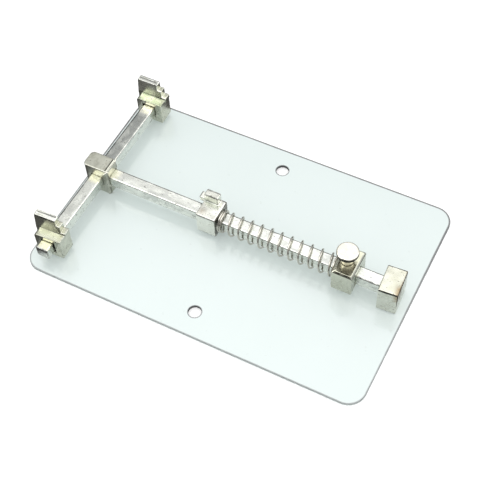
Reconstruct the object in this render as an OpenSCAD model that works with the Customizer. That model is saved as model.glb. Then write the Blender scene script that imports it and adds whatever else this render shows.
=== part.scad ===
// Circuit board holder: a flat base plate carries a T of two square bars.
// Two stepped jaws slide on the cross bar, and a sprung jaw and a screw clamp slide on the long rail.
// Frame: origin at the centre of the plate's underside, +X along the rail, +Z up. Units are mm.

/* [Base plate] */
// Length of the plate along the rail
plate_l = 120; // [115:1:160]
// Width of the plate along the cross bar
plate_w = 80; // [76:1:120]
// Thickness of the plate
plate_t = 1; // [0.8:0.1:2]
// Corner radius of the plate
plate_r = 6; // [2:0.5:12]
// Diameter of the two fixing holes
fixing_hole_d = 4.3; // [3:0.1:6]
// Distance between the two fixing holes
fixing_hole_span = 63; // [40:1:66]

/* [Bars] */
// Side of the square bars
bar_s = 4.45; // [3.5:0.05:5]
// Chamfer along the bars' edges
bar_edge = 0.25; // [0.1:0.05:0.4]
// Height of the bars' centre lines above the plate
bar_h = 5.9; // [5.5:0.1:6.5]
// Length of the cross bar
cross_bar_l = 75; // [74:0.5:78]
// X of the cross bar's centre line where it crosses the rail's
cross_bar_x = -52.65; // [-53:0.05:-52.6]
// Turn of the cross bar out of square with the rail, in degrees
cross_bar_turn = -0.6; // [-0.6:0.1:0.6]
// Y of the cross bar's front end
cross_bar_front = -36.8; // [-38:0.1:-36]
// X of the rail's end inside the tee block
rail_x = -50.3; // [-50.3:0.1:-49.5]
// Length of the rail
rail_l = 104.8; // [103:0.1:104.9]

/* [Tee block] */
// Length along the rail
tee_l = 9.5; // [9:0.1:11]
// Width along the cross bar
tee_w = 6.4; // [6:0.1:8]
// Height above the plate
tee_h = 11.9; // [10:0.1:14]
// X of the tee block's centre
tee_x = -52.95; // [-53.2:0.05:-52.6]
// Radius of the two outer upright corners
tee_corner = 1.6; // [0.5:0.1:2]
// Radius of the two upright corners beside the rail
tee_inner_corner = 0.8; // [0.3:0.1:0.9]
// Chamfer along the top edge above the rail
tee_edge = 0.7; // [0.3:0.1:1]

/* [End block] */
// Length along the rail
end_l = 6.6; // [6:0.1:8]
// Width across the rail
end_w = 10.2; // [8:0.1:12]
// Height above the plate
end_h = 10.8; // [10:0.1:14]
// X of the end block's inner face
end_x = 50.2; // [50:0.1:52]
// Depth of the rail's socket
end_socket = 4.5; // [4.4:0.1:5]
// Turn of the block's outside about its screw, in degrees
end_turn = 4; // [0:1:5]

/* [Cross bar jaws] */
// Depth of the jaw's body along the cross bar
jaw_body_d = 3.8; // [3:0.1:5]
// Width of the jaw's body
jaw_body_w = 9.8; // [9:0.1:11]
// How far the body reaches past the bar's centre, towards the board
jaw_body_reach = 5.1; // [5:0.1:5.3]
// Underside of the jaws above the plate
jaw_clear = 1.3; // [0.8:0.1:2]
// Top of the jaw's body above the plate
jaw_body_top = 10.1; // [9.5:0.1:11]
// Chamfer along the body's outer top edge
jaw_body_edge = 0.7; // [0.3:0.1:1]
// Thickness of the upright fin at its top
fin_t = 2.2; // [1.5:0.1:3]
// How much thicker the fin is at its foot, where its front face slopes down to the body
fin_draft = 0.7; // [0:0.1:1]
// Top of the fin above the plate
fin_top = 15.7; // [14:0.1:18]
// X of the fin's outer edge from the bar's centre
fin_x = -5.7; // [-6:0.1:-4.9]
// Length of the fin's top
fin_l = 7.8; // [7.6:0.1:8]
// Height above the plate of the upper board step
step_upper = 13.4; // [12:0.1:14]
// Height above the plate of the lower board step
step_lower = 10.9; // [10.4:0.1:11.5]
// Length of the upper board step
step_upper_l = 1.6; // [1.4:0.1:2]
// Length of the lower board step
step_lower_l = 1.7; // [1.6:0.1:2]
// Thickness of the lip that carries the lower board step
lip_t = 1.4; // [1:0.1:2]
// Front face of the front jaw when it isn't turned, along the cross bar from the rail's centre line
front_jaw_y = -33.5; // [-36:0.1:-30]
// Turn of the front jaw within its play on the bar, in degrees
front_jaw_turn = 3; // [0:0.2:3]
// Front face of the rear jaw, along the cross bar from the rail's centre line
rear_jaw_y = 31.4; // [20:0.1:32.1]
// Turn of the rear jaw within its play on the bar, in degrees
rear_jaw_turn = 0.6; // [0:0.2:1]
// Sideways shift of the rear jaw within its play on the bar
rear_jaw_shift = -0.2; // [-0.2:0.05:0.2]

/* [Sprung jaw] */
// X of the sprung jaw's spring side
spring_jaw_x = -7; // [-12:0.5:0]
// Length along the rail
spring_jaw_l = 7; // [6:0.1:8]
// Reach of its body in front of the rail's centre
spring_jaw_front = 4; // [3.5:0.1:5]
// Reach of its body behind the rail's centre
spring_jaw_back = 4.85; // [4.5:0.05:6]
// Top of its fin above the plate
spring_fin_top = 13.3; // [12:0.1:15]
// Thickness of its fin
spring_fin_t = 2.6; // [1.5:0.1:2.6]
// Length cut off its fin at the spring side
spring_fin_cut = 2; // [1:0.1:3]
// Board step: height above the plate
tooth_top = 11.1; // [10.8:0.1:12]
// Board step: how far it stands out towards the board
tooth_l = 1.9; // [1:0.1:2.2]
// Board step: thickness of the tooth below it
tooth_t = 1.9; // [1:0.1:2.5]
// Chamfer above the spring's seat
seat_edge = 0.5; // [0.3:0.1:0.8]

/* [Spring] */
// Outside diameter
spring_d = 7.9; // [7.7:0.1:8.5]
// Wire diameter
wire_d = 0.65; // [0.5:0.05:0.75]
// Open turns
open_turns = 11; // [8:1:14]
// Closed turns at each end
closed_turns = 1.5; // [1:0.25:2]
// Gap between one closed turn and the next
coil_gap = 0.02; // [0.01:0.01:0.1]
// Where the wire starts round the rail, in degrees
start_angle = 15; // [0:5:355]

/* [Screw clamp] */
// X of the slider's spring side
slider_x = 35.1; // [25:0.1:42]
// Length along the rail
slider_l = 7; // [6:0.1:8]
// Width across the rail
slider_w = 11.4; // [10:0.1:13]
// Underside above the plate
slider_clear = 2.2; // [1:0.1:2.5]
// Top above the plate
slider_top = 11.4; // [11:0.1:13]
// Chamfer round the slider's top
slider_edge = 0.6; // [0.3:0.1:1]
// Offset of the thumb screw from the slider's middle, towards the spring
screw_offset = 0.6; // [0:0.1:1]
// Diameter of the thumb screw's shank
shank_d = 4; // [3:0.5:4]
// Diameter of the thumb screw's head
head_d = 7.2; // [6:0.1:10]
// Thickness of the head
head_t = 1.6; // [1.3:0.1:3]
// Radius of the head's edges
head_edge = 0.5; // [0.3:0.1:0.6]
// Top of the head above the plate
head_top = 16.9; // [15:0.1:20]

/* [Block screws] */
// Diameter of the screws' shank
screw_d = 2.5; // [2:0.1:3]
// Diameter of the countersunk head
screw_head_d = 4.4; // [4:0.1:5]
// Width across the flats of the key socket
screw_key = 1.5; // [1.3:0.1:2]
// Depth of the key socket
key_depth = 0.7; // [0.5:0.1:0.9]

/* [Fits] */
// Gap on each side between a bar and a piece that slides on it
slide_gap = 0.3; // [0.3:0.01:0.4]
// Gap on each side between a bar and a block that holds it
held_gap = 0.08; // [0.02:0.01:0.1]
// Radial gap round a screw's shank
screw_gap = 0.05; // [0.02:0.01:0.1]

/* [Hidden] */
$fn = 64;
eps = 0.01;                               // overshoot of a cut past the face that it opens
bar_z = plate_t + bar_h;                  // centre height of both bars
bore_s = bar_s + 2 * slide_gap;           // square bore of a sliding piece
socket_s = bar_s + 2 * held_gap;          // square socket of a fixed block
jaw_d = jaw_body_d + fin_t;               // depth of a cross bar jaw
end_mid_x = end_x + end_l / 2;
slider_mid_x = slider_x + slider_l / 2;
thumb_x = slider_mid_x - screw_offset;
screw_len = plate_t + bar_h - bar_s / 2 - held_gap;
screw_sink = (screw_head_d - screw_d) / 2;
spring_gap = 0.05;                        // play between the spring's ends and the faces they press on
spring_from = spring_jaw_x + spring_gap;
spring_to = slider_x - spring_gap;
spring_r = (spring_d - wire_d) / 2;
coil_sides = 20;                          // rings of the spring's mesh in one turn
wire_sides = 8;
turns = open_turns + 2 * closed_turns;
closed_len = closed_turns * (wire_d + coil_gap);
open_pitch = (spring_to - spring_from - wire_d - 2 * closed_len) / open_turns;

// Bar of square section with chamfered edges, along +X from the origin
module square_bar(length) {
    a = bar_s / 2;
    b = a - bar_edge;
    rotate([90, 0, 90]) linear_extrude(length)
        polygon([[a, b], [b, a], [-b, a], [-a, b], [-a, -b], [-b, -a], [b, -a], [a, -b]]);
}

// Puts its children in the cross bar's frame: x from its centre line, y along it from the rail's
module along_cross_bar() {
    translate([cross_bar_x, 0, 0]) rotate([0, 0, cross_bar_turn]) children();
}

// Upright block standing on z = 0, its upright corners rounded by r0 on the -X side and r1 on the +X side
module rounded_block(l, w, h, r0, r1) {
    linear_extrude(h) {
        translate([-l / 2 + r0, -w / 2]) square([l - r0 - r1, w]);
        translate([-l / 2, -w / 2 + r0]) square([r0 + eps, w - 2 * r0]);
        translate([l / 2 - r1 - eps, -w / 2 + r1]) square([r1 + eps, w - 2 * r1]);
        for (side = [-1, 1]) {
            translate([-l / 2 + r0, side * (w / 2 - r0)]) circle(r0);
            translate([l / 2 - r1, side * (w / 2 - r1)]) circle(r1);
        }
    }
}

// Cutter for a 45 degree chamfer along a top edge that runs along +Y, centred on the edge
module edge_cut(size, length) {
    rotate([0, 45, 0]) cube([size * sqrt(2), length, size * sqrt(2)], center = true);
}

// Hole for a block screw, from z = 0 up
module screw_hole() {
    translate([0, 0, -eps]) cylinder(d = screw_d + 2 * screw_gap, h = bar_h);
}

// Outline of a plate with round corners
module plate_outline() {
    square([plate_l - 2 * plate_r, plate_w], center = true);
    square([plate_l, plate_w - 2 * plate_r], center = true);
    for (x = [-1, 1], y = [-1, 1])
        translate([x * (plate_l / 2 - plate_r), y * (plate_w / 2 - plate_r)]) circle(plate_r);
}

module base_plate() {
    color("mintcream") difference() {
        linear_extrude(plate_t) plate_outline();
        for (side = [-1, 1]) translate([0, side * fixing_hole_span / 2, -eps])
            cylinder(d = fixing_hole_d, h = plate_t + 2 * eps);
        for (x = [tee_x, end_mid_x]) translate([x, 0, -eps]) {
            cylinder(d = screw_d + 2 * screw_gap, h = plate_t + 2 * eps);
            cylinder(d1 = screw_head_d + 2 * (screw_gap + eps), d2 = screw_d + 2 * screw_gap,
                     h = screw_sink + eps);
        }
    }
}

// Cast block where the two bars meet
module tee_block() {
    color("silver") translate([tee_x, 0, plate_t]) difference() {
        rounded_block(tee_l, tee_w, tee_h, tee_corner, tee_inner_corner);
        translate([-tee_x, 0, 0]) along_cross_bar() translate([-socket_s / 2, -tee_w, bar_h - socket_s / 2])
            cube([socket_s, 2 * tee_w, socket_s]);
        translate([rail_x - tee_x - held_gap, -socket_s / 2, bar_h - socket_s / 2])
            cube([tee_l, socket_s, socket_s]);
        translate([tee_l / 2, 0, tee_h]) edge_cut(tee_edge, 2 * tee_w);
        screw_hole();
    }
}

// Cast block at the rail's far end
module end_block() {
    color("silver") translate([end_mid_x, 0, plate_t]) difference() {
        rotate([0, 0, end_turn]) translate([-end_l / 2, -end_w / 2, 0]) cube([end_l, end_w, end_h]);
        translate([-end_l, -socket_s / 2, bar_h - socket_s / 2])
            cube([end_l / 2 + end_socket, socket_s, socket_s]);
        screw_hole();
    }
}

module cross_bar() {
    color("gainsboro") along_cross_bar() translate([0, cross_bar_front, bar_z])
        rotate([0, 0, 90]) square_bar(cross_bar_l);
}

module rail_bar() {
    color("gainsboro") translate([rail_x, 0, bar_z]) square_bar(rail_l);
}

// Side outline of a cross bar jaw's fin: x from the bar's centre, z from the plate's top
module fin_outline() {
    x1 = fin_x + fin_l;
    x2 = x1 + step_upper_l;
    x3 = x2 + step_lower_l;
    lip_under = step_lower - lip_t;
    polygon([[fin_x, jaw_clear], [fin_x, fin_top], [x1, fin_top], [x1, step_upper], [x2, step_upper],
             [x2, step_lower], [x3, step_lower], [x3, lip_under],
             [jaw_body_reach, lip_under - (x3 - jaw_body_reach)], [jaw_body_reach, jaw_clear]]);
}

// A cross bar jaw's fin, its front face sloping above the body's top
module jaw_fin() {
    back = jaw_d / 2;
    face = back - fin_t;
    foot = face - fin_draft;
    intersection() {
        translate([0, back, 0]) rotate([90, 0, 0]) linear_extrude(fin_t + fin_draft) fin_outline();
        translate([fin_x, 0, 0]) rotate([90, 0, 90]) linear_extrude(2 * fin_l)
            polygon([[foot, 0], [foot, jaw_body_top], [face, fin_top], [back, fin_top], [back, 0]]);
    }
}

// Jaw on the cross bar, shifted and turned in its play: a bored body with a stepped fin behind it
module cross_jaw(front_y, shift, turn) {
    body_x = jaw_body_reach - jaw_body_w;
    along_cross_bar() translate([shift, front_y + jaw_d / 2, plate_t]) rotate([0, 0, turn]) difference() {
        union() {
            difference() {
                translate([body_x, -jaw_d / 2, jaw_clear])
                    cube([jaw_body_w, jaw_body_d + eps, jaw_body_top - jaw_clear]);
                translate([body_x, 0, jaw_body_top]) edge_cut(jaw_body_edge, 2 * jaw_d);
            }
            jaw_fin();
        }
        translate([-bore_s / 2, -jaw_d / 2 - eps, bar_h - bore_s / 2])
            cube([bore_s, jaw_d + 2 * eps, bore_s]);
    }
}

module front_jaw() {
    color("beige") cross_jaw(front_jaw_y, 0, front_jaw_turn);
}

module rear_jaw() {
    color("beige") cross_jaw(rear_jaw_y, rear_jaw_shift, rear_jaw_turn);
}

// Jaw on the rail, pushed towards the cross bar by the spring
module spring_jaw() {
    x0 = spring_jaw_x - spring_jaw_l;
    fin_y = spring_jaw_back - spring_fin_t;
    color("beige") translate([0, 0, plate_t]) difference() {
        union() {
            translate([x0, -spring_jaw_front, jaw_clear])
                cube([spring_jaw_l, spring_jaw_front + spring_jaw_back, jaw_body_top - jaw_clear]);
            translate([x0, fin_y, jaw_clear])
                cube([spring_jaw_l - spring_fin_cut, spring_fin_t, spring_fin_top - jaw_clear]);
            translate([x0 - tooth_l, fin_y, tooth_top - tooth_t])
                cube([tooth_l + eps, spring_fin_t, tooth_t]);
        }
        translate([x0 - eps, -bore_s / 2, bar_h - bore_s / 2])
            cube([spring_jaw_l + 2 * eps, bore_s, bore_s]);
        translate([spring_jaw_x, 0, jaw_body_top]) edge_cut(seat_edge, 4 * spring_jaw_back);
    }
}

// Distance along the spring at t turns from its jaw end
function spring_at(t) =
    wire_d / 2
    + min(t, closed_turns) * closed_len / closed_turns
    + max(0, min(t - closed_turns, open_turns)) * open_pitch
    + max(0, t - closed_turns - open_turns) * closed_len / closed_turns;

// Right-handed compression spring with closed ends, round the rail
module spring() {
    rings = turns * coil_sides;
    points = [for (i = [0 : rings], j = [0 : wire_sides - 1])
        let (t = i / coil_sides, a = start_angle + 360 * t, b = 360 * j / wire_sides,
             r = spring_r + wire_d / 2 * cos(b))
        [spring_from + spring_at(t) + wire_d / 2 * sin(b), r * cos(a), r * sin(a)]];
    walls = [for (i = [0 : rings - 1], j = [0 : wire_sides - 1])
        let (k = (j + 1) % wire_sides, p = i * wire_sides, q = p + wire_sides)
        each [[p + j, q + k, p + k], [p + j, q + j, q + k]]];
    first = [for (j = [0 : wire_sides - 1]) j];
    last = [for (j = [wire_sides - 1 : -1 : 0]) rings * wire_sides + j];
    color("slategray") translate([0, 0, bar_z])
        polyhedron(points, concat(walls, [first, last]), convexity = 20);
}

// Block that the thumb screw clamps to the rail
module clamp_slider() {
    height = slider_top - slider_clear;
    color("beige") translate([slider_mid_x, 0, plate_t + slider_clear]) difference() {
        translate([-slider_l / 2, -slider_w / 2, 0]) cube([slider_l, slider_w, height]);
        for (side = [-1, 1]) {
            translate([side * slider_l / 2, 0, height]) edge_cut(slider_edge, 2 * slider_w);
            translate([0, side * slider_w / 2, height]) rotate([0, 0, 90])
                edge_cut(slider_edge, 2 * slider_l);
        }
        translate([-slider_l, -bore_s / 2, bar_h - slider_clear - bore_s / 2])
            cube([2 * slider_l, bore_s, bore_s]);
        translate([-screw_offset, 0, bar_h - slider_clear])
            cylinder(d = shank_d + 2 * screw_gap, h = height);
    }
}

// Shank of the thumb screw, its tip just above the rail
module thumb_screw_shank() {
    tip = bar_h + bar_s / 2 + screw_gap;
    color("dimgray") translate([thumb_x, 0, plate_t + tip])
        cylinder(d = shank_d, h = head_top - head_t - tip);
}

// Plain round head of the thumb screw
module thumb_screw_head() {
    r = head_d / 2;
    color("whitesmoke") translate([thumb_x, 0, plate_t + head_top - head_t]) rotate_extrude() {
        square([r - head_edge, head_t]);
        translate([0, head_edge]) square([r, head_t - 2 * head_edge]);
        for (z = [head_edge, head_t - head_edge]) translate([r - head_edge, z]) circle(head_edge);
    }
}

// Countersunk screws that hold the two blocks from beneath and bear on the bars
module block_screws() {
    color("dimgray") for (x = [tee_x, end_mid_x]) translate([x, 0, 0]) difference() {
        union() {
            cylinder(d = screw_d, h = screw_len);
            cylinder(d1 = screw_head_d, d2 = screw_d, h = screw_sink);
        }
        translate([0, 0, -eps]) cylinder(d = screw_key / cos(30), h = key_depth, $fn = 6);
    }
}

base_plate();
tee_block();
end_block();
cross_bar();
rail_bar();
front_jaw();
rear_jaw();
spring_jaw();
spring();
clamp_slider();
thumb_screw_shank();
thumb_screw_head();
block_screws();
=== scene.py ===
"""Circuit board holder: finishes, wound spring, cut thread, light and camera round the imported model.

Lengths are in metres, as in the CAD. Only the marks painted on the finishes are given in millimetres.
"""
import math
import bpy
from mathutils import Matrix, Vector


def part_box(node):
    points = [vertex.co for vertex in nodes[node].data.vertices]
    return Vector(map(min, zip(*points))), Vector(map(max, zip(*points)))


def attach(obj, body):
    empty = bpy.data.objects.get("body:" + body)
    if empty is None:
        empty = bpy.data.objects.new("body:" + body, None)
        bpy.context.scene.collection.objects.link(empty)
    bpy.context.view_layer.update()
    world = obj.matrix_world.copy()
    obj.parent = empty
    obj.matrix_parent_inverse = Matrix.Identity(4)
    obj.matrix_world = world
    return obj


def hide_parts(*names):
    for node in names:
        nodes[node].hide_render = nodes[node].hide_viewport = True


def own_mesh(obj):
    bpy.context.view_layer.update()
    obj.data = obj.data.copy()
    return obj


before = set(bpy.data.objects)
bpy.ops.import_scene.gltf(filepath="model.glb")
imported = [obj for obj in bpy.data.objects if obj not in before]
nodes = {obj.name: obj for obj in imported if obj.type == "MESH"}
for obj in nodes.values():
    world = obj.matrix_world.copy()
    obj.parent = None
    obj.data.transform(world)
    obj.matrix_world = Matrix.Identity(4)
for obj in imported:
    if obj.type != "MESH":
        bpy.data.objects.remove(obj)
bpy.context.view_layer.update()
scene = bpy.context.scene
MM = 0.001


# ------------------------------------------------------------------ node helpers
class Shader:
    """Short way to build a node tree: each call adds a node and links what it is given."""

    def __init__(self, tree):
        self.tree = tree
        tree.nodes.clear()

    def add(self, kind, **props):
        node = self.tree.nodes.new(kind)
        for key, value in props.items():
            setattr(node, key, value)
        return node

    def put(self, socket, value):
        if isinstance(value, bpy.types.NodeSocket):
            self.tree.links.new(value, socket)
        else:
            socket.default_value = value

    def math(self, op, a, b=0.0, clamp=False):
        node = self.add("ShaderNodeMath", operation=op, use_clamp=clamp)
        self.put(node.inputs[0], a)
        self.put(node.inputs[1], b)
        return node.outputs[0]

    def times(self, first, *others):
        for other in others:
            first = self.math("MULTIPLY", first, other)
        return first

    def plus(self, first, *others):
        for other in others:
            first = self.math("ADD", first, other)
        return first

    def minus(self, a, b, clamp=False):
        return self.math("SUBTRACT", a, b, clamp)

    def ramp(self, value, low, high, to_low=0.0, to_high=1.0):
        """Smooth step from to_low, where value is low, to to_high, where value is high."""
        node = self.add("ShaderNodeMapRange", interpolation_type="SMOOTHSTEP")
        for i, v in enumerate((value, low, high, to_low, to_high)):
            self.put(node.inputs[i], v)
        return node.outputs[0]

    def mix(self, factor, a, b):
        node = self.add("ShaderNodeMix", data_type="RGBA")
        self.put(node.inputs[0], factor)
        self.put(node.inputs[6], a)
        self.put(node.inputs[7], b)
        return node.outputs[2]

    def xyz(self, vector):
        node = self.add("ShaderNodeSeparateXYZ")
        self.put(node.inputs[0], vector)
        return node.outputs

    def dot(self, a, b):
        node = self.add("ShaderNodeVectorMath", operation="DOT_PRODUCT")
        self.put(node.inputs[0], a)
        self.put(node.inputs[1], b)
        return node.outputs["Value"]

    def length(self, a, b):
        return self.math("SQRT", self.plus(self.times(a, a), self.times(b, b)))

    def coords(self, scale=(1.0, 1.0, 1.0), turn=0.0, move_x=0.0):
        """Object coordinates, scaled, turned about +Z and moved along X."""
        source = self.add("ShaderNodeTexCoord")
        node = self.add("ShaderNodeMapping")
        self.put(node.inputs["Vector"], source.outputs["Object"])
        self.put(node.inputs["Location"], (move_x, 0.0, 0.0))
        self.put(node.inputs["Rotation"], (0.0, 0.0, turn))
        self.put(node.inputs["Scale"], scale)
        return node.outputs[0]

    def noise(self, vector, size, detail=3.0, rough=0.5, distort=0.0):
        """Noise whose features are about size metres across."""
        node = self.add("ShaderNodeTexNoise")
        self.put(node.inputs["Vector"], vector)
        self.put(node.inputs["Scale"], 1.0 / size)
        self.put(node.inputs["Detail"], detail)
        self.put(node.inputs["Roughness"], rough)
        self.put(node.inputs["Distortion"], distort)
        return node.outputs[0]

    def waves(self, vector, scale, distort, detail=2.0, **props):
        node = self.add("ShaderNodeTexWave", **props)
        self.put(node.inputs["Vector"], vector)
        self.put(node.inputs["Scale"], scale)
        self.put(node.inputs["Distortion"], distort)
        self.put(node.inputs["Detail"], detail)
        return node.outputs[1]

    def bump(self, height, depth, normal=None):
        """Bump from a 0 to 1 height that is depth metres deep."""
        node = self.add("ShaderNodeBump")
        self.put(node.inputs["Strength"], 1.0)
        self.put(node.inputs["Distance"], depth)
        self.put(node.inputs["Height"], height)
        if normal is not None:
            self.put(node.inputs["Normal"], normal)
        return node.outputs[0]

    def surface(self, **values):
        shader = self.add("ShaderNodeBsdfPrincipled")
        for key, value in values.items():
            self.put(shader.inputs[key.replace("_", " ")], value)
        out = self.add("ShaderNodeOutputMaterial")
        self.put(out.inputs["Surface"], shader.outputs[0])


def material(name):
    made = bpy.data.materials.new(name)
    made.use_nodes = True
    return made, Shader(made.node_tree)


def rgb(r, g, b):
    """Linear colour from 0 to 255 display values."""
    def one(v):
        v /= 255.0
        return v / 12.92 if v <= 0.04045 else ((v + 0.055) / 1.055) ** 2.4
    return (one(r), one(g), one(b), 1.0)


# ------------------------------------------------------------------ materials
PLATE_CORNER = 6.0 * MM
HOLE_Y = 31.5 * MM
HOLE_R = 2.15 * MM
RIM_PAINTED_SHADE, RING_PAINTED_SHADE = rgb(84, 82, 84), rgb(70, 70, 72)
# Spans over which the painted dark rim grows wider: of X towards the left end, of Y towards the rear
RIM_LEFT = (-58.0 * MM, -50.0 * MM)
RIM_REAR = (-30.0 * MM, 30.0 * MM)


def enamel(half_x, half_y):
    """Pale enamel on sheet steel, with painted shade in grey along the plate's rim and round its two
    holes.
    """
    made, s = material("plate_enamel")
    where = s.coords()
    cloud = s.noise(where, 30 * MM, 2.0)
    fine = s.noise(where, 0.9 * MM, 2.0)
    speck = s.ramp(s.noise(where, 1.6 * MM, 1.0), 0.74, 0.79)
    tint = s.mix(cloud, rgb(207, 217, 215), rgb(212, 222, 220))
    tint = s.mix(s.times(speck, 0.25), tint, rgb(188, 197, 193))

    # Distance past the plate's rounded outline, below zero inside it, and made uneven
    x, y, z = s.xyz(where)
    side_x, side_y = (s.math("ABSOLUTE", v) for v in (x, y))
    past_x = s.minus(side_x, half_x - PLATE_CORNER)
    past_y = s.minus(side_y, half_y - PLATE_CORNER)
    out_x, out_y = (s.math("MAXIMUM", v, 0.0) for v in (past_x, past_y))
    inside = s.math("MINIMUM", s.math("MAXIMUM", past_x, past_y), 0.0)
    edge = s.minus(s.plus(s.length(out_x, out_y), inside), PLATE_CORNER)
    uneven = s.times(s.minus(s.noise(where, 4 * MM, 3.0), 0.5), 0.2 * MM)
    wide_rear = s.ramp(y, *RIM_REAR, 0.0, 0.2 * MM)
    wide_left = s.ramp(x, *RIM_LEFT, 0.1 * MM, 0.0)
    edge = s.plus(edge, uneven, wide_rear, wide_left)

    # Painted shade: a dark grey band along the rim, stronger towards the top and the rear
    rim = s.times(
        s.ramp(edge, -0.5 * MM, -0.15 * MM, 0.0, 0.95),
        s.ramp(z, 0.4 * MM, 0.85 * MM, 0.15, 1.0),
        s.ramp(y, *RIM_REAR, 0.72, 1.0),
    )
    tint = s.mix(rim, tint, RIM_PAINTED_SHADE)
    # Painted shade: a grey ring round each hole
    from_hole = s.length(side_x, s.minus(side_y, HOLE_Y))
    ring = s.ramp(from_hole, HOLE_R + 0.1 * MM, HOLE_R + 0.4 * MM, 0.95, 0.0)
    tint = s.mix(ring, tint, RING_PAINTED_SHADE)
    s.surface(
        Base_Color=tint,
        Roughness=s.ramp(cloud, 0.0, 1.0, 0.22, 0.27),
        IOR=1.55,
        Coat_Weight=1.0,
        Coat_IOR=1.52,
        Coat_Roughness=0.12,
        Normal=s.bump(fine, 0.004 * MM),
    )
    return made


PIT_DARK, WORN_LIGHT = rgb(92, 88, 80), rgb(240, 236, 226)
WEAR_RADIUS = 0.4 * MM
BLOTCH_DEPTH, WAVE_DEPTH, GRAIN_DEPTH = 0.02 * MM, 0.24 * MM, 0.006 * MM
EVEN = (1.0, 1.0, 1.0)


def nickel(name, light, dark, rough, size=3.5 * MM, blotch=0.5, grain=EVEN, milled=0.0, turn=0.0,
           marks=()):
    """Nickel plate over a casting or a drawn bar: darker blotches, a wavy face, and rubbed edges.

    size and blotch are the blotches' size and strength, and grain stretches them along an axis.
    milled is the depth of fine tool marks that run along X.
    marks holds what mark() returns for each region, in coordinates turned by turn about +Z. These
    regions are mostly painted highlights, painted reflections and painted shade, and a few stains.
    """
    made, s = material(name)
    where = s.coords(scale=grain)
    patch = s.noise(where, size, 4.0, 0.6, 0.6)
    soft = s.noise(where, 6 * MM, 1.0)
    fine = s.noise(where, 0.5 * MM, 3.0, 0.6)
    pit = s.ramp(s.noise(where, 0.7 * MM, 0.0), 0.72, 0.8)
    tint = s.mix(s.ramp(patch, 0.42, 0.68, 0.0, blotch), light, dark)

    # Marks: colour painted by place, mostly painted highlights, reflections and shade
    if marks:
        place = s.xyz(s.coords(turn=turn))
        uneven = s.ramp(patch, 0.25, 0.6, 0.25, 1.0)
    for low, high, colour, amount, soften in marks:
        cover = amount
        for axis, a, b in zip(place, low, high):
            above = s.ramp(axis, a - soften, a + soften)
            below = s.ramp(axis, b - soften, b + soften, 1.0, 0.0)
            cover = s.times(above, cover, below)
        tint = s.mix(s.times(cover, uneven), tint, colour)

    tint = s.mix(s.times(pit, 0.6), tint, PIT_DARK)
    round_edge = s.add("ShaderNodeBevel", samples=4)
    s.put(round_edge.inputs["Radius"], WEAR_RADIUS)
    flat = s.dot(round_edge.outputs[0], s.add("ShaderNodeNewGeometry").outputs["True Normal"])
    worn = s.times(s.ramp(flat, 0.9, 0.99, 1.0, 0.0), s.ramp(fine, 0.35, 0.65))
    tint = s.mix(s.times(worn, 0.5), tint, WORN_LIGHT)
    gloss = s.minus(s.ramp(patch, 0.3, 0.75, rough, rough + 0.14), s.times(worn, 0.06), clamp=True)
    normal = s.bump(soft, WAVE_DEPTH)
    normal = s.bump(patch, BLOTCH_DEPTH, normal)
    normal = s.bump(s.minus(fine, pit), GRAIN_DEPTH, normal)
    if milled:
        lines = s.waves(s.coords(), 420.0, 1.5, bands_direction="Y")
        normal = s.bump(lines, milled, normal)
    s.surface(Base_Color=tint, Metallic=1.0, Roughness=gloss, Normal=normal)
    return made


def plain_steel(name, light, dark, size, gloss, grain, depth):
    """Plain bright steel: patchy tone and gloss over a fine grain of the given size and depth."""
    made, s = material(name)
    where = s.coords()
    patch = s.noise(where, size, 3.0)
    s.surface(
        Base_Color=s.mix(patch, light, dark),
        Metallic=1.0,
        Roughness=s.ramp(patch, 0.3, 0.7, *gloss),
        Normal=s.bump(s.noise(where, grain, 2.0), depth),
    )
    return made


def turned_nickel(centre_x):
    """Turned head: faint rings round the screw's axis, and painted shade below its top: a dark side and
    a darker underside.
    """
    made, s = material("head_nickel")
    where = s.coords(move_x=-centre_x)
    rings = s.waves(where, 900.0, 0.4, wave_type="RINGS", rings_direction="Z", wave_profile="SIN")
    patch = s.noise(where, 2.5 * MM, 3.0)
    facing_up = s.xyz(s.add("ShaderNodeTexCoord").outputs["Normal"])[2]
    tint = s.mix(patch, rgb(238, 235, 224), rgb(222, 218, 204))
    # Painted dark reflection on the head's side, and painted shade on its underside
    tint = s.mix(s.ramp(facing_up, 0.15, 0.6, 1.0, 0.0), tint, rgb(40, 38, 34))
    tint = s.mix(s.ramp(facing_up, -0.8, -0.3, 1.0, 0.0), tint, rgb(84, 79, 66))
    s.surface(
        Base_Color=tint,
        Metallic=1.0,
        Roughness=s.ramp(patch, 0.3, 0.7, 0.2, 0.32),
        Normal=s.bump(s.noise(where, 0.8 * MM, 2.0), 0.008 * MM, s.bump(rings, 0.002 * MM)),
    )
    return made


def floor_white():
    made, s = material("floor_white")
    s.surface(
        Base_Color=s.mix(s.noise(s.coords(), 50 * MM, 2.0), rgb(250, 250, 250), rgb(253, 253, 253)),
        Roughness=0.9,
        Specular_IOR_Level=0.1,
    )
    return made


# ------------------------------------------------------------------ marks by place, in millimetres: painted highlights, reflections and shade, and stains
SOFT, FIRM, EDGE = 1.2, 0.2, 0.1
# Painted shade: colour of the dark lines painted along edges and feet, for shade and dark reflections
PAINTED_DARK_LINE = rgb(64, 64, 66)


def box_mm(node):
    """Lowest and highest corner of a node at rest, in millimetres."""
    return (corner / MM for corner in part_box(node))


def mark(x, y, z, colour, amount, soft):
    """Region between the ends of three spans, with its colour, amount and softness at the border."""
    low, high = zip(x, y, z)
    return [v * MM for v in low], [v * MM for v in high], colour, amount, soft * MM


def turned(x, y, angle):
    """Where a point lies in coordinates turned by angle about +Z."""
    c, s = math.cos(angle), math.sin(angle)
    return x * c - y * s, x * s + y * c


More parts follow.
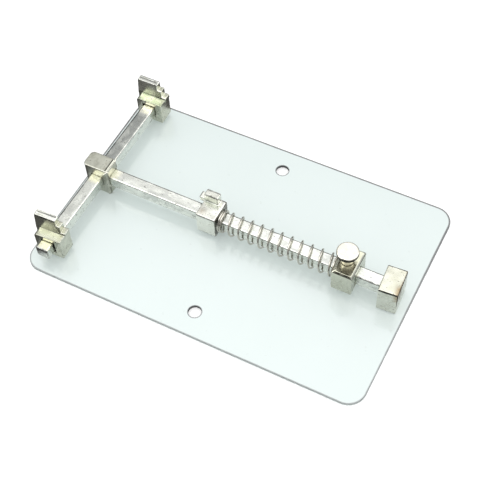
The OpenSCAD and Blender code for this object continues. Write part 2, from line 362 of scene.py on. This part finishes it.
front_lo, front_hi = box_mm("front_jaw")
rear_lo, rear_hi = box_mm("rear_jaw")
sprung_lo, sprung_hi = box_mm("spring_jaw")
slider_lo, slider_hi = box_mm("clamp_slider")
end_lo, end_hi = box_mm("end_block")
tee_lo, tee_hi = box_mm("tee_block")
rail_lo, rail_hi = box_mm("rail_bar")
cross_lo, cross_hi = box_mm("cross_bar")

JAW_TONES = rgb(199, 200, 186), rgb(178, 178, 160)
JAW_MILLED = 0.009 * MM
# Span about the top of a cross bar jaw's body, above the jaw's underside
BODY_TOP = (8.3, 9.1)


def rear_jaw_nickel():
    lo, hi = rear_lo, rear_hi
    whole, fin = (lo.x, hi.x), (lo.x + 0.4, lo.x + 7.2)
    body_top = [lo.z + v for v in BODY_TOP]
    return nickel("jaw_nickel", *JAW_TONES, 0.2, milled=JAW_MILLED, marks=(
        # painted reflections on the fin's front, body's top and fin's top, and painted dark lines of
        # shade on that top
        mark(whole, (lo.y + 3, lo.y + 4.1), (lo.z + 9.4, hi.z - 0.3), rgb(244, 244, 230), 0.95, FIRM),
        mark(whole, (lo.y, lo.y + 4), body_top, rgb(170, 179, 152), 0.95, FIRM),
        mark(whole, (hi.y - 3, hi.y), (hi.z - 0.2, hi.z + 1), rgb(238, 240, 234), 0.95, FIRM),
        mark(fin, (hi.y - 1.4, hi.y - 0.9), (hi.z - 0.3, hi.z + 1), PAINTED_DARK_LINE, 0.85, EDGE),
        mark(whole, (hi.y - 0.4, hi.y + 1), (hi.z - 0.4, hi.z + 1), rgb(120, 122, 124), 0.8, EDGE),
    ))


# The front jaw stands turned by 2.4 degrees to the plate. The fin's front and back count from its middle
FRONT_TURN = math.radians(-2.4)
FRONT_MID = (-52.97, -30.5)
FIN_FACE, FIN_BACK = 0.8, 3.0


def front_jaw_nickel():
    lo, hi = front_lo, front_hi
    x, y = turned(*FRONT_MID, FRONT_TURN)
    face, back = y + FIN_FACE, y + FIN_BACK
    fin = (x - 5.3, x + 1.8)
    body_top = [lo.z + v for v in BODY_TOP]
    return nickel("front_nickel", *JAW_TONES, 0.2, milled=JAW_MILLED, turn=FRONT_TURN, marks=(
        # painted reflection on the body's top, painted shade on the side, painted highlight on the fin's
        # top, and painted dark lines of shade along that
        mark((x - 6, x + 6), (y - 3.2, face), body_top, rgb(186, 188, 168), 0.95, FIRM),
        mark((x + 4.6, x + 7), (y - 5, y + 5), (lo.z, hi.z - 4.5), rgb(182, 184, 172), 0.9, EDGE),
        mark((x - 7, x + 7), (y + 0.3, y + 4), (hi.z - 0.2, hi.z + 1), rgb(242, 244, 236), 0.95, FIRM),
        mark(fin, (back - 0.9, back - 0.5), (hi.z - 0.3, hi.z + 1), PAINTED_DARK_LINE, 0.9, EDGE),
        mark(fin, (face - 0.5, face + 0.2), (hi.z - 0.7, hi.z - 0.2), PAINTED_DARK_LINE, 0.9, EDGE),
    ))


# Sprung jaw: Z of its body's top, length cut off its fin, the fin's thickness, and its tooth
SPRUNG_BODY_TOP, SPRUNG_FIN_CUT, SPRUNG_FIN_T = 11.1, 2.0, 2.6
TOOTH_TOP, TOOTH_L, TOOTH_T = 12.1, 1.9, 1.9


def sprung_jaw_nickel():
    lo, hi, body = sprung_lo, sprung_hi, SPRUNG_BODY_TOP
    face, under = hi.y - SPRUNG_FIN_T, TOOTH_TOP - TOOTH_T
    whole, top_line = (lo.x, hi.x), (hi.z - 0.4, hi.z + 1)
    return nickel("sprung_nickel", rgb(222, 223, 215), rgb(204, 204, 192), 0.18, marks=(
        # brown stain; painted shade on the fin's front and on the side under the spring
        mark((lo.x + 2.2, lo.x + 4.2), (lo.y + 0.8, lo.y + 3), (hi.z - 5, hi.z - 2),
             rgb(168, 158, 142), 0.8, SOFT),
        mark(whole, (face - 0.2, face + 0.2), (hi.z - 2.8, hi.z - 0.3), rgb(178, 182, 172), 0.95, FIRM),
        mark((hi.x - 0.3, hi.x + 1), (lo.y, hi.y), (lo.z, hi.z), rgb(92, 90, 84), 0.95, EDGE),
        # painted dark lines of shade: fin's top at the back and front, body's top at the back
        mark(whole, (hi.y - 0.6, hi.y + 1), top_line, PAINTED_DARK_LINE, 0.95, EDGE),
        mark(whole, (face - 0.2, face + 0.3), top_line, PAINTED_DARK_LINE, 0.95, EDGE),
        mark((hi.x - SPRUNG_FIN_CUT, hi.x - 0.2), (hi.y - 0.6, hi.y + 1), (body - 0.4, body + 0.3),
             PAINTED_DARK_LINE, 0.95, EDGE),
        # painted dark lines of shade: tooth's end and lower front
        mark((lo.x - 1, lo.x + 0.4), (face, hi.y), (TOOTH_TOP - 0.6, TOOTH_TOP + 1), PAINTED_DARK_LINE, 0.9, EDGE),
        mark((lo.x - 1, lo.x + TOOTH_L), (face - 1, face + 1), (under - 1, under + 0.5),
             PAINTED_DARK_LINE, 0.85, EDGE),
        # painted reflection at the fin's foot, and painted dark lines of shade along the body's front at
        # the top and below
        mark(whole, (face - 0.5, face + 0.1), (body - 0.2, body + 0.6), rgb(176, 180, 172), 0.95, EDGE),
        mark(whole, (lo.y - 1, lo.y + 0.2), (body - 0.6, body + 1), PAINTED_DARK_LINE, 0.9, EDGE),
        mark(whole, (lo.y - 1, lo.y + 1), (lo.z - 1, lo.z + 0.4), PAINTED_DARK_LINE, 0.7, EDGE),
    ))


def slider_nickel():
    lo, hi = slider_lo, slider_hi
    return nickel("slider_nickel", rgb(192, 194, 180), rgb(172, 172, 158), 0.2, marks=(
        # painted highlight as a bright rim round the top, and painted shade as a darker strip on its end
        # block side
        mark((lo.x, hi.x), (lo.y, hi.y), (hi.z - 0.8, hi.z + 3), rgb(228, 226, 200), 0.9, SOFT),
        mark((hi.x - 0.7, hi.x + 1), (lo.y, hi.y), (hi.z - 1, hi.z + 1),
             rgb(160, 162, 154), 0.95, EDGE),
    ))


# The end block stands turned by 4 degrees to the plate. Half its length and width
END_TURN = math.radians(-4)
END_HALF_L, END_HALF_W = 3.3, 5.1


def end_block_nickel():
    lo, hi = end_lo, end_hi
    x, y = turned((lo.x + hi.x) / 2, 0.0, END_TURN)
    right, front, back = x + END_HALF_L, y - END_HALF_W, y + END_HALF_W
    whole = (x - 6, x + 6)
    return nickel("end_nickel", rgb(208, 209, 199), rgb(190, 190, 177), 0.2, turn=END_TURN, marks=(
        # painted highlight on the top, and the brown stain at its corner
        mark(whole, (y - 8, y + 8), (hi.z - 0.5, hi.z + 3), rgb(216, 215, 195), 0.85, SOFT),
        mark((right - 1.2, right + 2), (front - 2, front + 3.6), (hi.z - 3.5, hi.z + 2),
             rgb(148, 122, 84), 0.9, SOFT),
        # painted dark lines of shade along the top's back, front and right, and painted shadow along the
        # foot of the front
        mark(whole, (back - 0.6, back + 1), (hi.z - 0.3, hi.z + 1), PAINTED_DARK_LINE, 0.95, EDGE),
        mark(whole, (front - 1, front + 0.3), (hi.z - 0.7, hi.z + 1), PAINTED_DARK_LINE, 0.95, EDGE),
        mark((right - 0.4, right + 1), (front - 1, back + 1), (hi.z - 0.5, hi.z + 1),
             rgb(104, 92, 72), 0.9, EDGE),
        mark(whole, (front - 1, front + 0.3), (lo.z - 1, lo.z + 0.4), PAINTED_DARK_LINE, 0.7, EDGE),
    ))


# Both bars: finish's roughness, blotches' size and strength, and how they stretch along the bar
BAR_LOOK = {"rough": 0.18, "size": 2.2 * MM, "blotch": 0.7}
BAR_STRETCH = 0.6


def rail_nickel():
    lo, hi = rail_lo, rail_hi
    top = (hi.z - 0.3, hi.z + 1)
    tones, grain = (rgb(226, 228, 221), rgb(188, 190, 186)), (BAR_STRETCH, 1.0, 1.0)
    return nickel("bar_nickel", *tones, **BAR_LOOK, grain=grain, marks=(
        # painted dark lines of shade along the top's back and, beyond the slider, its front; painted
        # reflection as a bright patch at the tee
        mark((lo.x, hi.x), (hi.y - 0.45, hi.y), top, PAINTED_DARK_LINE, 0.9, EDGE),
        mark((slider_hi.x, hi.x), (lo.y, lo.y + 0.45), top, PAINTED_DARK_LINE, 0.9, EDGE),
        mark((tee_hi.x - 1, tee_hi.x + 2.8), (lo.y, hi.y), (hi.z - 0.6, hi.z + 1),
             rgb(246, 244, 222), 0.9, SOFT),
    ))


# The cross bar stands out of square by 0.6 degrees, and the darker stretch of its top behind the tee
# ends at this Y
CROSS_TURN = math.radians(0.6)
DARK_TOP_END = 26.2


def cross_bar_nickel():
    lo, hi = cross_lo, cross_hi
    # Outer edge of the top, towards -X. Both bars are of one section.
    edge = (lo.x + hi.x) / 2 - (rail_hi.y - rail_lo.y) / 2
    whole, top = (lo.x - 2, hi.x + 2), (hi.z - 0.4, hi.z + 2)
    tones, grain = (rgb(214, 216, 209), rgb(176, 178, 174)), (1.0, BAR_STRETCH, 1.0)
    return nickel("cross_nickel", *tones, **BAR_LOOK, grain=grain, turn=CROSS_TURN, marks=(
        # top: darker behind the tee; painted reflections, bright beside the rear jaw and the tee and
        # warm beside the front jaw
        mark(whole, (tee_lo.y, DARK_TOP_END), top, rgb(132, 136, 134), 0.92, SOFT),
        mark(whole, (rear_lo.y - 4.2, rear_lo.y + 2), top, rgb(255, 252, 230), 0.95, 0.6),
        mark(whole, (tee_lo.y - 3.6, tee_lo.y + 1), top, rgb(248, 246, 216), 0.9, 0.8),
        mark(whole, (lo.y, front_lo.y + 1), (hi.z - 0.6, hi.z + 2), rgb(226, 224, 192), 0.9, 0.4),
        # painted shade on the front end, and a painted dark line of shade along its top
        mark((lo.x, hi.x), (lo.y - 1, lo.y + 0.2), (lo.z, hi.z - 0.5), rgb(188, 190, 184), 0.9, EDGE),
        mark(whole, (lo.y - 1.6, lo.y - 0.2), (hi.z - 0.9, hi.z + 1), PAINTED_DARK_LINE, 0.85, EDGE),
        # painted reflection of the board on the side towards it, and a painted dark line of shade along
        # the top's outer edge
        mark((edge + 4.2, edge + 6), (lo.y, hi.y), (lo.z, hi.z - 0.5), rgb(228, 232, 227), 0.6, EDGE),
        mark((edge - 1, edge + 0.6), (lo.y, hi.y), (hi.z - 0.3, hi.z + 1), PAINTED_DARK_LINE, 0.9, EDGE),
    ))


# ------------------------------------------------------------------ finishes of the CAD nodes
plate_lo, plate_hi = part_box("base_plate")
head_lo, head_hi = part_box("thumb_screw_head")
screw_x = (head_lo.x + head_hi.x) / 2
cast = nickel("cast_nickel", rgb(188, 189, 177), rgb(158, 158, 144), 0.28, size=2.2 * MM, blotch=0.8)
screw_steel = plain_steel(
    "screw_steel", rgb(222, 218, 206), rgb(180, 176, 166), 1.2 * MM, (0.22, 0.4), 0.2 * MM, 0.006 * MM)
wire_steel = plain_steel(
    "spring_steel", rgb(216, 213, 204), rgb(164, 161, 152), 2 * MM, (0.12, 0.2), 0.3 * MM, 0.003 * MM)
FINISH = {
    "base_plate": enamel(plate_hi.x, plate_hi.y),
    "tee_block": cast,
    "end_block": end_block_nickel(),
    "cross_bar": cross_bar_nickel(),
    "rail_bar": rail_nickel(),
    "front_jaw": front_jaw_nickel(),
    "rear_jaw": rear_jaw_nickel(),
    "spring_jaw": sprung_jaw_nickel(),
    "clamp_slider": slider_nickel(),
    "thumb_screw_head": turned_nickel(screw_x),
    "thumb_screw_shank": screw_steel,
    "block_screws": screw_steel,
    "spring": wire_steel,
}
for name, finish in FINISH.items():
    mesh = nodes[name].data
    mesh.materials.clear()
    mesh.materials.append(finish)

# ------------------------------------------------------------------ softened edges on the CAD nodes
ROUNDING = {
    "base_plate": 0.4 * MM,
    "tee_block": 0.45 * MM,
    "end_block": 0.5 * MM,
    "cross_bar": 0.32 * MM,
    "rail_bar": 0.32 * MM,
    "front_jaw": 0.28 * MM,
    "rear_jaw": 0.28 * MM,
    "spring_jaw": 0.3 * MM,
    "clamp_slider": 0.25 * MM,
}
# On these, short edges at holes and bar ends limit the rounding. On the others they would all but
# remove it.
CLAMPED = ("base_plate", "cross_bar", "rail_bar")
for name, radius in ROUNDING.items():
    weld = nodes[name].modifiers.new("weld", "WELD")
    weld.merge_threshold = 0.01 * MM
    bevel = nodes[name].modifiers.new("soft_edges", "BEVEL")
    bevel.width = radius
    bevel.segments = 3
    bevel.limit_method = "ANGLE"
    bevel.angle_limit = math.radians(28)
    bevel.harden_normals = True
    bevel.use_clamp_overlap = name in CLAMPED


# ------------------------------------------------------------------ mesh helpers
def add_mesh(name, verts, faces, finish, smooth=False):
    mesh = bpy.data.meshes.new(name)
    mesh.from_pydata(verts, [], faces)
    mesh.validate()
    mesh.materials.append(finish)
    mesh.polygons.foreach_set("use_smooth", [smooth] * len(mesh.polygons))
    obj = bpy.data.objects.new(name, mesh)
    scene.collection.objects.link(obj)
    return obj


def sleeve(rings, sides):
    """Faces of a closed sleeve over vertices that come ring by ring, with sides vertices in each."""
    faces = []
    for i in range(rings - 1):
        p, q = i * sides, (i + 1) * sides
        for j in range(sides):
            k = (j + 1) % sides
            faces.append((p + j, p + k, q + k, q + j))
    last = (rings - 1) * sides
    faces.append(tuple(reversed(range(sides))))
    faces.append(tuple(last + j for j in range(sides)))
    return faces


# ------------------------------------------------------------------ spring
WIRE = 0.65 * MM
OPEN_TURNS, CLOSED_TURNS = 11, 1.5
TURNS = OPEN_TURNS + 2 * CLOSED_TURNS
COIL_GAP = 0.02 * MM
COIL_START = math.radians(15)
RINGS_A_TURN, WIRE_SIDES = 48, 14
# Turns over which an open coil eases into a closed one
EASE = 0.25
# The wire thins towards both ends: share of its thickness at the tip, and growth of that a turn
TIP, TIP_GROWTH = 0.55, 1.8
spring_lo, spring_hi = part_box("spring")


def eased(turns):
    """Nothing below -EASE, then a smooth bend into the straight line turns."""
    if turns <= -EASE:
        return 0.0
    if turns >= EASE:
        return turns
    return (turns + EASE) ** 2 / (4 * EASE)


def along(turns):
    """Distance of the wire's centre from the spring's jaw end after so many turns."""
    tight = WIRE + COIL_GAP
    rise = (spring_hi.x - spring_lo.x - WIRE - 2 * CLOSED_TURNS * tight) / OPEN_TURNS
    opened = eased(turns - CLOSED_TURNS) - eased(turns - CLOSED_TURNS - OPEN_TURNS)
    return WIRE / 2 + turns * tight + opened * (rise - tight)


def wound_spring():
    axis_z = (spring_lo.z + spring_hi.z) / 2
    coil_r = (spring_hi.z - spring_lo.z - WIRE) / 2
    rings = int(TURNS * RINGS_A_TURN) + 1
    verts = []
    for i in range(rings):
        t = i / RINGS_A_TURN
        a = COIL_START + 2 * math.pi * t
        out = Vector((0, math.cos(a), math.sin(a)))
        centre = Vector((spring_lo.x + along(t), 0, axis_z)) + out * coil_r
        r = WIRE / 2 * min(1.0, TIP + TIP_GROWTH * min(t, TURNS - t))
        for j in range(WIRE_SIDES):
            b = 2 * math.pi * j / WIRE_SIDES
            verts.append(centre + Vector((1, 0, 0)) * (r * math.cos(b)) + out * (r * math.sin(b)))
    return add_mesh("spring_wire", verts, sleeve(rings, WIRE_SIDES), FINISH["spring"], smooth=True)


spring = wound_spring()
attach(spring, "slider")
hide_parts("spring")
clamp_lo, clamp_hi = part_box("clamp_slider")
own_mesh(spring)

# ------------------------------------------------------------------ thumb screw's thread
PITCH, THREAD_DEPTH = 0.7 * MM, 0.32 * MM
THREAD_SIDES, ROWS_A_TURN = 48, 12
TIP_CHAMFER = 0.5 * MM
# The plain shank above the thread starts this far below the slider's top
NECK_BELOW = 0.5 * MM
# A groove's depth falls from full over its flat bottom to nothing at its crest
GROOVE_BOTTOM, GROOVE_FLANK = 1.6, 4.4


def clamp01(v):
    return min(1.0, max(0.0, v))


def threaded_shank():
    """Threaded rod with a chamfered tip and, above the neck, a plain shank."""
    low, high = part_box("thumb_screw_shank")
    neck = clamp_hi.z - NECK_BELOW
    radius, height = (high.x - low.x) / 2, high.z - low.z
    rows = int(height / PITCH * ROWS_A_TURN)
    verts = []
    for i in range(rows + 1):
        up = height * i / rows
        tip = min(1.0, up / TIP_CHAMFER)
        cut = THREAD_DEPTH * clamp01((neck - low.z - up) / (0.5 * PITCH))
        for j in range(THREAD_SIDES):
            a = 2 * math.pi * j / THREAD_SIDES
            phase = (up / PITCH - j / THREAD_SIDES) % 1.0
            r = radius - cut * clamp01(GROOVE_BOTTOM - abs(phase - 0.5) * GROOVE_FLANK)
            r = min(r, radius - THREAD_DEPTH * (1.0 - tip))
            verts.append(Vector((screw_x + r * math.cos(a), r * math.sin(a), low.z + up)))
    faces = sleeve(rows + 1, THREAD_SIDES)
    return add_mesh("thumb_screw_thread", verts, faces, FINISH["thumb_screw_shank"])


screw = threaded_shank()
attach(screw, "screw_head")
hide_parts("thumb_screw_shank")

# ------------------------------------------------------------------ floor
FLOOR_HALF, FLOOR_CELLS = 1.5, 24
across = range(FLOOR_CELLS + 1)
verts = [(FLOOR_HALF * (2 * i / FLOOR_CELLS - 1), FLOOR_HALF * (2 * j / FLOOR_CELLS - 1), plate_lo.z)
         for j in across for i in across]
row = FLOOR_CELLS + 1
corners = (j * row + i for j in range(FLOOR_CELLS) for i in range(FLOOR_CELLS))
floor = add_mesh("floor", verts, [(c, c + 1, c + row + 1, c + row) for c in corners], floor_white())
floor.visible_glossy = False

# ------------------------------------------------------------------ light
# Strength of the even sky that lights everything but glossy reflections
DOME = 0.85
# Bright patches of the reflected sky: direction, cosines where the patch starts and is full, strength
LOBES = (
    ((0.65, 0.45, 0.6), 0.86, 0.95, 1.4),
    ((-0.75, -0.5, 0.45), 0.75, 0.93, 0.8),
    ((-0.62, -0.45, 0.65), 0.945, 0.965, 1.7),
    ((-0.45, -0.2, 0.85), 0.95, 0.98, 0.8),
)
# The one dark patch, where the photo's reflections are nearly black
DARK_LOBE = ((-0.05, -0.87, 0.48), 0.86, 0.95, 0.97)


def studio_sky():
    """Even sky for light, and a graded one with bright and dark patches for what the metal reflects."""
    world = bpy.data.worlds.new("studio")
    scene.world = world
    world.use_nodes = True
    s = Shader(world.node_tree)
    aim = s.add("ShaderNodeTexCoord").outputs["Generated"]
    height = s.xyz(aim)[2]

    def lobe(direction, start, full, strength):
        return s.ramp(s.dot(aim, Vector(direction).normalized()), start, full, 0.0, strength)

    low_band = s.times(s.ramp(height, 0.05, 0.3, 0.0, 0.45), s.ramp(height, 0.54, 0.68, 1.0, 0.0))
    mirrored = s.plus(
        s.ramp(height, -0.05, 0.6, 0.12, 0.5),
        s.ramp(height, 0.725, 0.86, 0.0, 1.45),
        low_band,
        *(lobe(*patch) for patch in LOBES),
    )
    mirrored = s.times(mirrored, s.minus(1.0, lobe(*DARK_LOBE)))
    glossy = s.add("ShaderNodeLightPath").outputs["Is Glossy Ray"]
    back = s.add("ShaderNodeBackground")
    s.put(back.inputs["Color"], (1.0, 1.0, 1.0, 1.0))
    s.put(back.inputs["Strength"], s.plus(s.times(s.minus(mirrored, DOME), glossy), DOME))
    out = s.add("ShaderNodeOutputWorld")
    s.put(out.inputs["Surface"], back.outputs[0])


def softbox(name, place, side, power, shadow=True):
    """Square light that points at the origin and that reflections don't show."""
    lamp = bpy.data.lights.new(name, "AREA")
    lamp.shape = "RECTANGLE"
    lamp.size = lamp.size_y = side
    lamp.energy = power
    lamp.use_shadow = shadow
    obj = bpy.data.objects.new(name, lamp)
    obj.location = place
    obj.rotation_mode = "QUATERNION"
    obj.rotation_quaternion = Vector(place).to_track_quat("Z", "Y")
    obj.visible_glossy = False
    scene.collection.objects.link(obj)


studio_sky()
softbox("key", (-0.5, 0.5, 0.8), 0.3, 1.2)
softbox("fill", (0.1, -0.2, 1.1), 0.6, 5.0, shadow=False)

# ------------------------------------------------------------------ camera
# Fitted to the plate's four edges: angles in degrees, focal length in frame widths, distance in metres
AZIMUTH, ELEVATION, ROLL = (math.radians(v) for v in (30.640, 55.240, -3.953))
FOCAL, DISTANCE = 2.25327, 0.35727
AIM = Vector((0.224 * MM, -0.777 * MM, plate_hi.z))
SENSOR_MM = 36.0
back_axis = Vector((
    math.sin(AZIMUTH) * math.cos(ELEVATION),
    -math.cos(AZIMUTH) * math.cos(ELEVATION),
    math.sin(ELEVATION),
))
level = Vector((math.cos(AZIMUTH), math.sin(AZIMUTH), 0))
upright = back_axis.cross(level)
right = level * math.cos(ROLL) + upright * math.sin(ROLL)
up = upright * math.cos(ROLL) - level * math.sin(ROLL)
lens = bpy.data.cameras.new("camera")
lens.sensor_width = SENSOR_MM
lens.lens = FOCAL * SENSOR_MM
lens.clip_start, lens.clip_end = 0.01, 10.0
camera = bpy.data.objects.new("camera", lens)
facing = Matrix((right, up, back_axis)).transposed().to_4x4()
camera.matrix_world = Matrix.Translation(AIM + back_axis * DISTANCE) @ facing
scene.collection.objects.link(camera)
scene.camera = camera
scene.view_settings.view_transform = "Standard"
scene.view_settings.look = "None"
